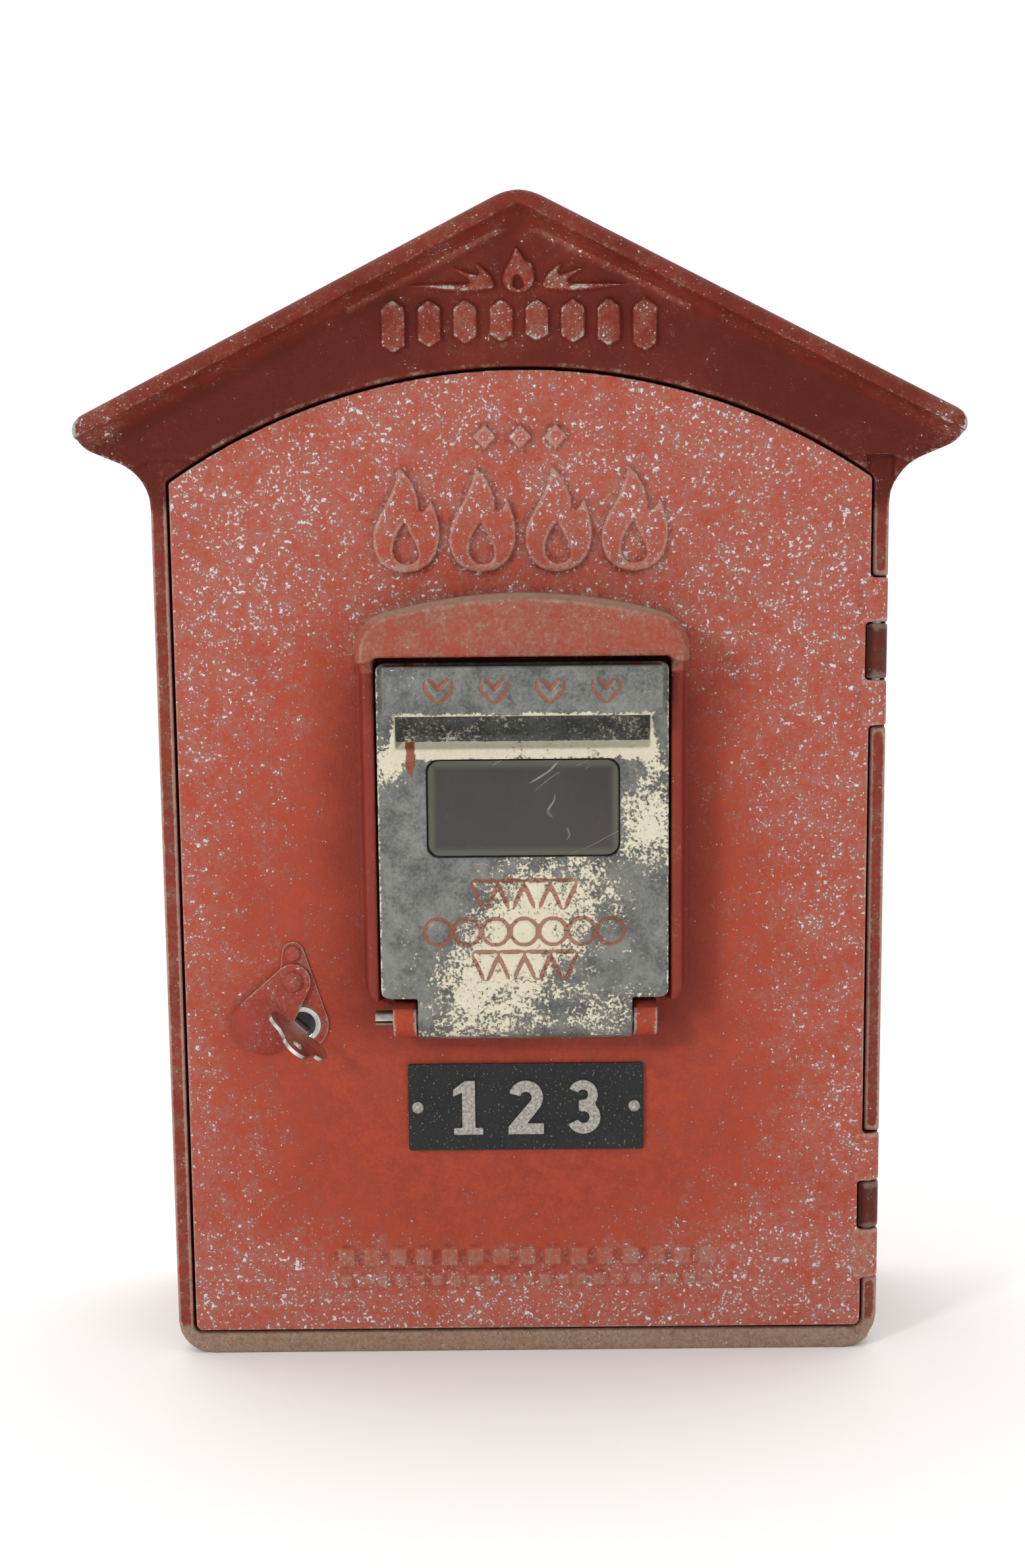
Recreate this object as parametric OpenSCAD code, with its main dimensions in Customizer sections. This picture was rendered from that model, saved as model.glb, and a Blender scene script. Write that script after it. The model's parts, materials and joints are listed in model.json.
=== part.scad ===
// Street fire alarm box: cast gabled housing, hinged door with a drop flap, key lock,
// pull hook and a clockwork signalling movement inside.
// The box faces -Y, +X is to its right and +Z is up. The origin is on the back face,
// at the centre of the four wall bolts.

/* [Housing] */
// Width across the side walls
body_w = 272; // [270:1:274]
// Height from the base to the rounded ridge
box_h = 432; // [430:1:436]
// Depth from the back face to the rim around the door
box_d = 112; // [110:1:114]
// Wall thickness of the casting
wall = 6; // [5.5:0.5:6]
// Rounding of the two bottom corners
corner_r = 13; // [10:1:14]
// Height of the wall bolt pattern's centre above the base
bolt_h = 190; // [188:1:192]
// Spacing of the wall bolts, side to side
bolt_dx = 203.2; // [200:0.1:206]
// Spacing of the wall bolts, up and down
bolt_dz = 266.7; // [264:0.1:270]
// Radius of a wall bolt hole
bolt_r = 5.2; // [4.5:0.1:5.5]
// Radius of the conduit hole in the floor
conduit_r = 13.3; // [10:0.1:14]

/* [Roof] */
// Width across the eaves
roof_w = 322; // [320:1:324]
// Slope of the roof in degrees
roof_angle = 26.5; // [26:0.5:27]
// Rounding of an eave's tip
eave_r = 7; // [6.5:0.5:7]
// Rounding of the ridge
ridge_r = 22; // [18:1:24]
// How far the cornice stands out past the rim
cornice_d = 15; // [13:1:17]
// Radius of the concave flare under an eave
flare_r = 18; // [16:1:20]

/* [Door] */
// Width of the door
door_w = 258.4; // [258:0.1:258.8]
// Height of the door's bottom edge
door_low = 9; // [8.5:0.5:9.5]
// Height where the arched top starts at each side
door_side_h = 332.3; // [331:0.1:333]
// Height of the arched top's crown
door_top_h = 371.7; // [371:0.1:372]
// Thickness of the door plate
door_t = 6; // [5.5:0.5:6.5]
// How far a hinge's knuckle reaches from its pin
knuckle_r = 4.5; // [4.4:0.1:4.6]

/* [Flap] */
// Width of the flap
flap_w = 106.6; // [106:0.2:107]
// Height of the flap's top edge
flap_top_h = 266.5; // [266:0.1:267]
// Height of the flap's lower shoulders
flap_low_h = 143; // [142.8:0.1:143.4]
// Height of the flap's hinge pin
flap_pin_h = 134.5; // [134.4:0.1:134.6]
// Width of the flap's hinge tongue
tongue_w = 79.8; // [79:0.1:80]
// How far the flap's face stands out from the door's
flap_out = 20; // [19.8:0.1:20.2]
// Thickness of the flap plate
flap_t = 5; // [4.8:0.1:5.2]
// How far the handle's face stands out from the door's
handle_out = 34; // [32:1:35]
// Width of the viewing window
window_w = 71; // [68:1:73]
// Height of the viewing window
window_h = 36; // [34:1:38]

/* [Lock] */
// Distance of the lock from the middle, to the left
lock_left = 84.8; // [84:0.1:86]
// Height of the lock
lock_h = 130.2; // [129:0.1:131]
// Turn of the key away from the locked, upright position
key_turn = 49; // [47:1:51]

/* [Movement] */
// Tooth size of the great wheel and its pinion
great_module = 1.2; // [1.2:0.1:1.2]
// Teeth of the great wheel
great_teeth = 60; // [60:1:60]
// Teeth of the pinion that it drives
second_pinion_teeth = 12; // [12:1:12]
// Tooth size of the second wheel and the fly's pinion
second_module = 1.0; // [1.0:0.1:1.0]
// Teeth of the second wheel
second_teeth = 50; // [50:1:50]
// Teeth of the fly's pinion
fly_pinion_teeth = 10; // [10:1:10]

/* [Hidden] */

$fn = 64;
base_z = -bolt_h;
rim_y = -box_d;
half_w = body_w / 2;

// Door, ledge and gasket planes
door_back_y = rim_y + door_t;
ledge_y = rim_y + door_t + 3;
ledge_t = 5;
ledge_w = 9;
door_gap = 1;
arch_rise = door_top_h - door_side_h;
arch_r = (pow(door_w / 2, 2) + pow(arch_rise, 2)) / (2 * arch_rise);
arch_h = door_top_h - arch_r;

// Pediment and cornice planes
pediment_y = rim_y - 2;
cornice_y = rim_y - cornice_d;

// Door hinge
hinge_x = half_w - knuckle_r;
hinge_y = rim_y + 3.5;
hinge_pin_r = 2;
hinge_gap = 0.5;
door_lugs = [[279.7, 296], [241.6, 258.4], [66.9, 85.4], [28.5, 47.6]];
housing_lugs = [[258.9, 279.2], [48.1, 66.4]];
hinge_spans = [[door_lugs[3][0], door_lugs[2][1]], [door_lugs[1][0], door_lugs[0][1]]];
pin_end = 0.5;

// Flap hinge
flap_face_y = rim_y - flap_out;
flap_back_y = flap_face_y + flap_t;
flap_axis_y = flap_face_y + 8;
flap_barrel_r = 7.9;
flap_pin_r = 2.9;
lug_r = 7;
lug_in = 40.4;
lug_out = 49.2;
window_mid_h = 213.5;
window_r = 4.5;
retainer_screw_at = [[-42.8, 197], [42.8, 197], [-42.8, 230], [42.8, 230]];
handle_y = rim_y - handle_out;
handle_low_h = 247.6;
handle_top_h = 265.3;
handle_half = 50.3;
hood_half = 58;
hood_low_h = 141;
visor_low_h = 268.5;
visor_top_h = 288.8;
visor_y = rim_y - 30;

// Lock
lock_x = -lock_left;
tube_r = 7;
plug_r = 4.9;
blade_w = 6.4;
blade_t = 1.4;
cam_front_y = ledge_y + ledge_t + 2;
cover_x = lock_x - 3.1;
cover_h = lock_h + 16.8;
top_rivet_at = [lock_x - 2.9, lock_h + 27.6];
dome_x = lock_x - 15.7;
dome_h = lock_h + 0.3;
dome_r = 11;

// Number plate
plate_rivet_at = [[-41.4, 97.6], [41.4, 97.6]];
plate_rivet_r = 1.5;
digit_low_h = 87;

// Pull hook and starting lever
hook_screw_at = [[-52, 152], [52, 152], [-52, 258], [52, 258]];
hook_y = -86;
hook_h = 200;
start_y = -53;
start_h = 226;

// Movement planes and arbors
plate_t = 3;
back_plate_y = -24;
front_plate_y = -44;
arbor_a = [-24, 172];
arbor_ab = great_module * (great_teeth + second_pinion_teeth) / 2;
second_line = 30;
arbor_b = arbor_a + arbor_ab * [cos(second_line), sin(second_line)];
arbor_bc = second_module * (second_teeth + fly_pinion_teeth) / 2;
fly_line = -35;
arbor_c = arbor_b + arbor_bc * [cos(fly_line), sin(fly_line)];
second_turn = mesh_turn(second_line, great_teeth, second_pinion_teeth);
fly_turn = mesh_turn(fly_line, second_teeth, fly_pinion_teeth);
pivot_r = 2;
running = 0.05;
pillar_at = [[-56, 136], [56, 136], [-56, 242], [56, 242]];
movement_screw_at = [[-69, 150], [69, 150], [-69, 235], [69, 235]];
gong_at = [90, 94];
striker_at = [122, 193];
coil_x = [92, 112];
signal_key_at = [-90, 97];
ground_screw_at = [112, 32];

// ---- helpers -------------------------------------------------------------

// Heights in the modules below count from the base
module above_base() translate([0, 0, base_z]) children();

// A shape drawn in X and height, given thickness between two Y planes
module slab(front, back)
    translate([0, back, 0]) rotate([90, 0, 0]) linear_extrude(back - front) children();

// A shape drawn in Y and height, given thickness between two X planes
module bar(left, right)
    translate([left, 0, 0]) rotate([90, 0, 90]) linear_extrude(right - left) children();

module post(at, front, back, r)
    translate([at[0], back, at[1]]) rotate([90, 0, 0]) cylinder(h = back - front, r = r);

module rod_x(left, right, y, z, r)
    translate([left, y, z]) rotate([0, 90, 0]) cylinder(h = right - left, r = r);

module rod_z(low, high, x, y, r) translate([x, y, low]) cylinder(h = high - low, r = r);

module block(x, y, z) translate([x[0], y[0], z[0]]) cube([x[1] - x[0], y[1] - y[0], z[1] - z[0]]);

module round_rect(x0, x1, z0, z1, r) {
    translate([x0 + r, z0]) square([x1 - x0 - 2 * r, z1 - z0]);
    translate([x0, z0 + r]) square([x1 - x0, z1 - z0 - 2 * r]);
    for (x = [x0 + r, x1 - r], z = [z0 + r, z1 - r]) translate([x, z]) circle(r);
}

// A straight stroke with round ends
module stroke(p, q, w) {
    turn = atan2(q[1] - p[1], q[0] - p[0]);
    polygon(concat(arc(p, w / 2, turn + 90, turn + 270, 12), arc(q, w / 2, turn - 90, turn + 90, 12)));
}

// Two circles joined by their common tangents
module teardrop(p, rp, q, rq) {
    d = q - p;
    turn = atan2(d[1], d[0]);
    lean = acos((rp - rq) / norm(d));
    polygon(concat(arc(p, rp, turn + lean, turn + 360 - lean, 40), arc(q, rq, turn - lean, turn + lean, 20)));
}

function arc(c, r, a0, a1, n) =
    [for (i = [0:n]) let (a = a0 + (a1 - a0) * i / n) c + r * [cos(a), sin(a)]];

function mirrored(points) = [for (i = [len(points) - 1:-1:0]) [-points[i][0], points[i][1]]];

function bezier(a, b, c, d, n) =
    [for (i = [0:n - 1]) let (t = i / n)
        pow(1 - t, 3) * a + 3 * t * pow(1 - t, 2) * b + 3 * t * t * (1 - t) * c + t * t * t * d];

// ---- housing -------------------------------------------------------------

under_angle = 22;
slope = [sin(roof_angle), cos(roof_angle)];
eave_x = roof_w / 2 - eave_r;
eave_h = ((box_h - ridge_r) * slope[1] - slope[0] * eave_x - eave_r + ridge_r) / slope[1];
ridge_h = box_h + ridge_r * (1 / slope[1] - 1);
flare_x = half_w + flare_r;
flare_h = eave_h + (sin(under_angle) * (flare_x - eave_x) - eave_r - flare_r) / cos(under_angle);

module body_outline() {
    right = concat([[0, 0]],
        arc([half_w - corner_r, corner_r], corner_r, -90, 0, 8),
        arc([flare_x, flare_h], flare_r, 180, 90 + under_angle, 8),
        arc([eave_x, eave_h], eave_r, under_angle - 90, 90 - roof_angle, 10),
        arc([0, box_h - ridge_r], ridge_r, 90 - roof_angle, 90, 5));
    polygon(concat(right, mirrored(right)));
}

module cavity_outline() {
    side = half_w - wall;
    top = ridge_h - (wall + 1) / slope[1];
    polygon([[-side, wall], [side, wall], [side, top - side * tan(roof_angle)],
             [0, top], [-side, top - side * tan(roof_angle)]]);
}

// The door's arched outline, made larger or smaller all round
module arched(grow, r) intersection() {
    round_rect(-door_w / 2 - grow, door_w / 2 + grow, door_low - grow, door_top_h + 20, r);
    translate([0, arch_h]) circle(arch_r + grow, $fn = 180);
}

function cornice_profile() = concat(
    [[rim_y + 8, -24], [rim_y + 8, 0]],
    arc([cornice_y + 5, -5], 5, 90, 180, 6),
    [for (i = [0:8]) let (a = 90 - 90 * i / 8)
        [cornice_y + 1 + (pediment_y - cornice_y - 1.5) * cos(a), -14.5 + 8 * sin(a)]],
    [[pediment_y, -24]]);

module cornice() for (side = [0, 1]) mirror([side, 0, 0]) intersection() {
    translate([0, 0, ridge_h]) rotate([0, roof_angle, 0]) translate([-40, 0, 0])
        bar(0, roof_w) polygon(cornice_profile());
    slab(cornice_y - 1, rim_y + 8) intersection() {
        body_outline();
        square([roof_w, box_h + 10]);
    }
}

module housing_shell() {
    slab(rim_y, 0) body_outline();
    slab(pediment_y, rim_y) intersection() {
        body_outline();
        translate([-roof_w / 2, door_side_h + 8]) square([roof_w, box_h]);
    }
    cornice();
}

// A slender kite, pointing outwards from its foot
module ray(length) polygon([[0, 0], [0.35 * length, 1.3], [length, 0], [0.35 * length, -1.3]]);

module pediment_relief() slab(pediment_y - 2.6, pediment_y + 0.5) {
    for (x = [-45.5:13:45.5]) {
        low = 381 - 0.0018 * x * x;
        polygon([[x - 4.2, low + 2.5], [x, low], [x + 4.2, low + 2.5],
                 [x + 4.2, 393], [x, 396], [x - 4.2, 393]]);
    }
    translate([0, 398]) flame(12, 16);
    for (side = [0, 1], r = [[2, 30], [24, 17], [48, 12]])
        mirror([side, 0]) translate([7.5, 399.5]) rotate(r[0]) translate([1.5, 0]) ray(r[1]);
}

module housing_bosses() {
    for (p = movement_screw_at) post(p, back_plate_y + plate_t, -wall, 6);
    translate([0, -50, 0]) cylinder(h = 14, r = conduit_r + 6);
    post(ground_screw_at, -12, -wall, 6);
    for (z = housing_lugs) {
        rod_z(z[0], z[1], hinge_x, hinge_y, knuckle_r);
        block([hinge_x - 1, half_w], [hinge_y, ledge_y], z);
    }
}

module housing() color([0.55, 0.16, 0.11]) above_base() difference() {
    union() {
        difference() {
            housing_shell();
            slab(ledge_y + ledge_t, -wall) cavity_outline();
            slab(ledge_y - 1, ledge_y + ledge_t + 1) arched(-ledge_w + door_gap, 6);
            slab(cornice_y - 2, ledge_y) arched(door_gap, 3);
            // The rim stands a little lower along the hinges
            block([half_w - wall - 2.5, half_w + 1], [rim_y - 1, rim_y + 2.5], [door_low - 4, door_side_h + 9]);
            for (span = hinge_spans) {
                z = [span[0] - hinge_gap, span[1] + hinge_gap];
                rod_z(z[0], z[1], hinge_x, hinge_y, knuckle_r + hinge_gap);
                block([half_w - wall - 5, half_w + 1], [rim_y - 3, hinge_y], z);
            }
        }
        housing_bosses();
        pediment_relief();
    }
    for (x = [-1, 1], z = [-1, 1])
        post([x * bolt_dx / 2, bolt_h + z * bolt_dz / 2], -wall - 1, 1, bolt_r);
    translate([0, -50, -1]) cylinder(h = 16, r = conduit_r);
    for (z = housing_lugs) rod_z(z[0] - 1, z[1] + 1, hinge_x, hinge_y, hinge_pin_r + 0.02);
}

module door_gasket() color([0.10, 0.10, 0.10]) above_base() difference() {
    slab(ledge_y - 2.6, ledge_y) arched(0.4, 3);
    slab(ledge_y - 3, ledge_y + 1) arched(-ledge_w + door_gap + 1, 5);
    for (z = [[20, 95], [232, 305]]) block([half_w - wall - 6, half_w], [ledge_y - 4, ledge_y + 1], z);
}

module hinge_pins() color([0.62, 0.60, 0.56]) above_base()
    for (z = hinge_spans) rod_z(z[0] + pin_end, z[1] - pin_end, hinge_x, hinge_y, hinge_pin_r);

module strike_plate() color([0.66, 0.66, 0.68]) above_base()
    block([-half_w + wall, -half_w + wall + 8], [ledge_y + ledge_t, ledge_y + ledge_t + 1.5],
          [lock_h - 20, lock_h + 20]);

// ---- movement ------------------------------------------------------------

// Tooth half-angle at radius r of an involute gear with some backlash
function tooth_half(r, m, z) =
    let (rp = m * z / 2, rb = rp * cos(20), a = r > rb ? acos(rb / r) : 0,
         inv_p = tan(20) * 180 / PI - 20, inv_r = tan(a) * 180 / PI - a)
    90 / z - 0.11 * m / rp * 180 / PI + inv_p - inv_r;

function gear_outline(m, z) =
    let (rp = m * z / 2, radii = [rp - 1.1 * m, rp - 0.45 * m, rp, rp + 0.75 * m])
    [for (k = [0:z - 1], side = [-1, 1], i = [0:3])
        let (r = radii[side < 0 ? i : 3 - i], a = 360 * k / z + side * tooth_half(r, m, z))
        r * [cos(a), sin(a)]];

// Turn of a follower whose gap then faces the driver's tooth, along their line of centres
function mesh_turn(line, driver_teeth, follower_teeth) =
    180 + line - 180 / follower_teeth + line * driver_teeth / follower_teeth;

module gear(at, front, back, m, z, turn)
    translate([at[0], 0, at[1]]) rotate([0, -turn, 0]) slab(front, back) polygon(gear_outline(m, z));

module plate_outline(half, low, high) round_rect(-half, half, low, high, 8);

module movement_back_plate() color([0.72, 0.58, 0.28]) above_base() difference() {
    slab(back_plate_y, back_plate_y + plate_t) plate_outline(74, 128, 250);
    for (p = [arbor_a, arbor_b, arbor_c])
        post(p, back_plate_y - 1, back_plate_y + plate_t + 1, pivot_r + running);
    for (p = movement_screw_at) post(p, back_plate_y - 1, back_plate_y + plate_t + 1, 2.6);
}

module movement_front_plate() color([0.74, 0.60, 0.30]) above_base() difference() {
    slab(front_plate_y, front_plate_y + plate_t) plate_outline(64, 128, 250);
    for (p = [arbor_b, arbor_c])
        post(p, front_plate_y - 1, front_plate_y + plate_t + 1, pivot_r + running);
    post(arbor_a, front_plate_y - 1, front_plate_y + plate_t + 1, 3 + running);
    slab(front_plate_y - 1, front_plate_y + plate_t + 1) {
        round_rect(18, 52, 136, 158, 5);
        round_rect(-50, -14, 216, 240, 5);
        round_rect(24, 52, 216, 240, 5);
    }
}

module movement_pillars() color([0.70, 0.56, 0.27]) above_base()
    for (p = pillar_at) post(p, front_plate_y + plate_t, back_plate_y, 3.5);

module movement_screws() color([0.60, 0.60, 0.62]) above_base()
    for (p = movement_screw_at) difference() {
        union() {
            post(p, back_plate_y - 3, back_plate_y, 4.6);
            post(p, back_plate_y, back_plate_y + plate_t, 2.5);
        }
        translate([p[0], back_plate_y - 3, p[1]]) cube([10, 2, 1.2], center = true);
    }

module pillar_nuts() color([0.58, 0.58, 0.60]) above_base()
    for (p = pillar_at) translate([p[0], front_plate_y, p[1]]) rotate([90, 0, 0])
        cylinder(h = 3, r = 5, $fn = 6);

module start_bracket() color([0.55, 0.56, 0.57]) above_base() difference() {
    union() {
        block([-12, 12], [front_plate_y - 2, front_plate_y], [218, 236]);
        for (x = [[-8, -5.5], [5.5, 8]])
            bar(x[0], x[1]) {
                translate([start_y - 1, 219]) square([front_plate_y - start_y + 1, 14]);
                translate([start_y, start_h]) circle(7);
            }
    }
    rod_x(-9, 9, start_y, start_h, 2.02);
}

module start_pin() color([0.66, 0.66, 0.68]) above_base() rod_x(-9, 9, start_y, start_h, 2);

module contact_block() color([0.16, 0.10, 0.07]) above_base()
    block([-61, -49.5], [front_plate_y - 8, front_plate_y], [142, 156]);

module contact_springs() color([0.80, 0.62, 0.30]) above_base()
    for (x = [-51.5, -55]) block([x, x + 0.8], [front_plate_y - 6, front_plate_y - 2], [156, 190]);

module terminal_block() color([0.12, 0.12, 0.13]) above_base() difference() {
    block([-52, 52], [-24, -wall], [30, 56]);
    for (x = [-34.5:17.25:34.5]) block([x - 0.8, x + 0.8], [-25, -19], [29, 57]);
}

module terminal_screws() color([0.76, 0.62, 0.32]) above_base()
    for (x = [-43:17.2:43]) difference() {
        post([x, 43], -28, -24, 5);
        translate([x, -28, 43]) rotate([0, 20, 0]) cube([12, 2.4, 1.2], center = true);
    }

module ground_screw() color([0.74, 0.60, 0.32]) above_base() difference() {
    post(ground_screw_at, -16, -12, 5.5);
    translate([ground_screw_at[0], -16, ground_screw_at[1]]) cube([12, 2.4, 1.4], center = true);
}

module gong() color([0.78, 0.76, 0.70]) above_base()
    translate([gong_at[0], -20, gong_at[1]]) rotate([90, 0, 0]) rotate_extrude($fn = 72)
        polygon(concat([[3.1, 12], [3.1, 13.6]], arc([16, 0], 13.6, 90, 0, 8), arc([16, 0], 12, 0, 90, 8)));

module gong_screw() color([0.62, 0.62, 0.64]) above_base() {
    post(gong_at, -33.6, -wall, 3);
    post(gong_at, -38, -33.6, 5.5);
    post(gong_at, -32, -wall, 5);
}

module bell_frame() color([0.22, 0.22, 0.24]) above_base() {
    block([83.5, 127], [-9, -wall], [150, 204]);
    block([83.5, 121], [-34, -9], [154, 158]);
    post(striker_at, -30, -9, 2);
    post(striker_at, -14, -9, 6);
}

module bell_coils() color([0.36, 0.20, 0.10]) above_base()
    for (x = coil_x) {
        translate([x, -22, 158]) cylinder(h = 28, r = 3);
        for (z = [158, 182]) translate([x, -22, z]) cylinder(h = 2, r = 9.4);
        translate([x, -22, 160]) cylinder(h = 22, r = 8);
    }

module bell_striker() color([0.45, 0.45, 0.47]) above_base() difference() {
    union() {
        post(striker_at, -29, -15, 5);
        block([77.3, 122], [-27, -17], [190.5, 194]);
        slab(-24, -20) stroke([78.5, 192], [78.5, 133], 2.4);
        translate([79, -22, 131]) sphere(r = 5);
    }
    post(striker_at, -31, -13, 2 + running);
}

module signal_key_base() color([0.14, 0.14, 0.15]) above_base() {
    block([-116, -70], [-12, -wall], [86, 108]);
    for (z = [[87, 90], [104, 107]])
        block([signal_key_at[0] - 5, signal_key_at[0] + 5], [-28, -12], z);
    post([-108, signal_key_at[1]], -18, -12, 3);
    rod_z(90, 104, signal_key_at[0], -24, 1.8);
}

module signal_key_lever() color([0.74, 0.60, 0.32]) above_base() difference() {
    union() {
        block([-113, -74], [-26.5, -21.5], [93, 101]);
        rod_z(91, 103, signal_key_at[0], -24, 4);
        post([-108, signal_key_at[1]], -32, -26, 2.5);
        post([-108, signal_key_at[1]], -38, -31, 7.5);
    }
    rod_z(90, 104, signal_key_at[0], -24, 1.8 + running);
}

module great_wheel() color([0.76, 0.62, 0.30]) above_base() {
    difference() {
        gear(arbor_a, -27.5, -25, great_module, great_teeth, 0);
        for (a = [60:120:300])
            post(arbor_a + 30.5 * [cos(a), sin(a)], -29, -23, 2.6);
    }
    post(arbor_a, -40.5, -24.3, 5);
    post(arbor_a, -24.3, back_plate_y + plate_t - 0.3, pivot_r);
    post(arbor_a, -49.5, -40.5, 3);
}

module spring_barrel() color([0.70, 0.57, 0.28]) above_base() difference() {
    post(arbor_a, -37.2, -28, 28);
    post(arbor_a, -36, -27, 26.4);
    post(arbor_a, -38, -27, 5 + 0.02);
}

// A flat spiral of spring steel
spiral_turns = 5;
spiral_steps = 110;
function spiral(r) = [for (i = [0:spiral_steps]) let (a = 360 * spiral_turns * i / spiral_steps)
    [cos(a), sin(a)] * (r + 17 * i / spiral_steps)];

module mainspring() color([0.30, 0.34, 0.42]) above_base()
    translate([arbor_a[0], 0, arbor_a[1]]) slab(-35.5, -28.5)
        polygon(concat(spiral(7), [for (i = [spiral_steps:-1:0]) spiral(8)[i]]));

module code_wheel() color([0.80, 0.68, 0.36]) above_base()
    translate([arbor_a[0], 0, arbor_a[1]]) slab(front_plate_y - 4.5, front_plate_y - 2) difference() {
        circle(25.6);
        for (a = [20, 30, 40, 120, 130, 220, 230, 240, 250])
            rotate(a) translate([23.5, -1.1]) square([4, 2.2]);
        for (a = [0:72:288]) rotate(a) translate([14, 0]) circle(4.5);
        circle(3.02);
    }

module second_wheel() color([0.78, 0.64, 0.32]) above_base() {
    gear(arbor_b, -28.5, -24.5, great_module, second_pinion_teeth, second_turn);
    difference() {
        gear(arbor_b, -40, -38, second_module, second_teeth, 0);
        for (a = [0:72:288]) post(arbor_b + 14 * [cos(a), sin(a)], -41, -37, 5);
    }
    post(arbor_b, -40.5, -24.3, 3.5);
    post(arbor_b, front_plate_y + 0.3, back_plate_y + plate_t - 0.3, pivot_r);
}

module governor_fly() color([0.70, 0.68, 0.62]) above_base() {
    gear(arbor_c, -40.4, -37.4, second_module, fly_pinion_teeth, fly_turn);
    post(arbor_c, -40.6, -24.4, 2.6);
    post(arbor_c, front_plate_y + 0.3, back_plate_y + plate_t - 0.3, pivot_r);
    translate([arbor_c[0], 0, arbor_c[1]]) rotate([0, 25, 0])
        block([-16, 16], [-36.5, -26], [-0.6, 0.6]);
}

// ---- starting lever and hook ----------------------------------------------

module starting_lever() color([0.62, 0.62, 0.64]) above_base() difference() {
    bar(-4, 4) {
        translate([start_y, start_h]) circle(5.5);
        stroke([start_y, start_h], [start_y - 18, start_h - 11.5], 7);
        stroke([start_y, start_h], [start_y - 8, start_h + 9], 5);
    }
    rod_x(-5, 5, start_y, start_h, 2 + running);
}

module pull_hook() color([0.86, 0.84, 0.78]) above_base() difference() {
    bar(-4, 4) {
        translate([hook_y, hook_h]) circle(8);
        stroke([hook_y, hook_h], [-115.5, 201.5], 9);
        stroke([-116.5, 202], [-118.5, 212], 6);
        stroke([hook_y, hook_h], [hook_y + 20, hook_h + 6], 8);
    }
    rod_x(-5, 5, hook_y, hook_h, 3 + running);
}

module hook_plate() color([0.62, 0.16, 0.11]) above_base() difference() {
    union() {
        slab(door_back_y, door_back_y + 3) round_rect(-58, 58, 146, 264, 6);
        for (x = [[-12, -9], [9, 12]])
            bar(x[0], x[1]) {
                translate([door_back_y + 2, 189]) square([hook_y - door_back_y - 2, 22]);
                translate([hook_y, hook_h]) circle(11);
            }
    }
    slab(door_back_y - 1, door_back_y + 4) round_rect(-8.5, 8.5, 166, 234, 3);
    rod_x(-13, 13, hook_y, hook_h, 3.02);
    for (p = hook_screw_at) post(p, door_back_y - 1, door_back_y + 4, 2.1);
}

module hook_plate_screws() color([0.62, 0.62, 0.64]) above_base()
    for (p = hook_screw_at) {
        post(p, door_back_y + 3, door_back_y + 5.4, 4);
        post(p, door_back_y - 3.3, door_back_y + 3, 1.58);
    }

module hook_pin() color([0.66, 0.66, 0.68]) above_base() {
    rod_x(-13.5, 13.5, hook_y, hook_h, 3);
    for (x = [[-14.5, -12.2], [12.2, 14.5]]) rod_x(x[0], x[1], hook_y, hook_h, 4.4);
}

// A torsion spring as a stack of rings round a pin along X
module torsion_coil(first, count, y, z, r, wire)
    for (i = [0:count - 1]) translate([first + i * (2 * wire + 0.1), y, z]) rotate([0, 90, 0])
        rotate_extrude() translate([r, 0]) circle(wire, $fn = 24);

module hook_spring() color([0.50, 0.52, 0.55]) above_base()
    torsion_coil(5.2, 3, hook_y, hook_h, 4.6, 0.6);

// ---- door ----------------------------------------------------------------

// A flame pictogram with its foot at the origin
module flame(w, h) {
    outer = concat(
        bezier([0, 0], [-0.36 * w, 0], [-0.50 * w, 0.16 * h], [-0.48 * w, 0.36 * h], 8),
        bezier([-0.48 * w, 0.36 * h], [-0.44 * w, 0.56 * h], [-0.16 * w, 0.70 * h], [-0.10 * w, h], 8),
        bezier([-0.10 * w, h], [0.12 * w, 0.86 * h], [0.20 * w, 0.72 * h], [0.18 * w, 0.56 * h], 8),
        bezier([0.18 * w, 0.56 * h], [0.26 * w, 0.58 * h], [0.32 * w, 0.62 * h], [0.34 * w, 0.70 * h], 5),
        bezier([0.34 * w, 0.70 * h], [0.56 * w, 0.44 * h], [0.54 * w, 0.02 * h], [0, 0], 10));
    inner = concat(
        bezier([0, 0.08 * h], [-0.22 * w, 0.08 * h], [-0.28 * w, 0.26 * h], [-0.02 * w, 0.48 * h], 8),
        bezier([-0.02 * w, 0.48 * h], [0.02 * w, 0.36 * h], [0.36 * w, 0.10 * h], [0, 0.08 * h], 8));
    difference() {
        polygon(outer);
        polygon(inner);
    }
}

module chevron(w, h, t)
    polygon([[-w / 2, h / 2], [-w / 2, h / 2 - t], [0, -h / 2], [w / 2, h / 2 - t], [w / 2, h / 2], [0, -h / 2 + t]]);

module door_relief() {
    slab(rim_y - 2, rim_y) {
        for (x = [-42, -14, 14, 42]) translate([x, 299]) flame(26, 38.5);
        for (x = [-13, 0, 13]) translate([x, 347.7]) rotate(45) square([6.4, 6.4], center = true);
    }
    slab(rim_y - 0.8, rim_y) {
        for (x = [-70:10:70]) translate([x, 38]) square([6, 6.4], center = true);
        for (x = [-70:7:70]) translate([x, 28.5]) square([4, 4], center = true);
    }
}

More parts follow.
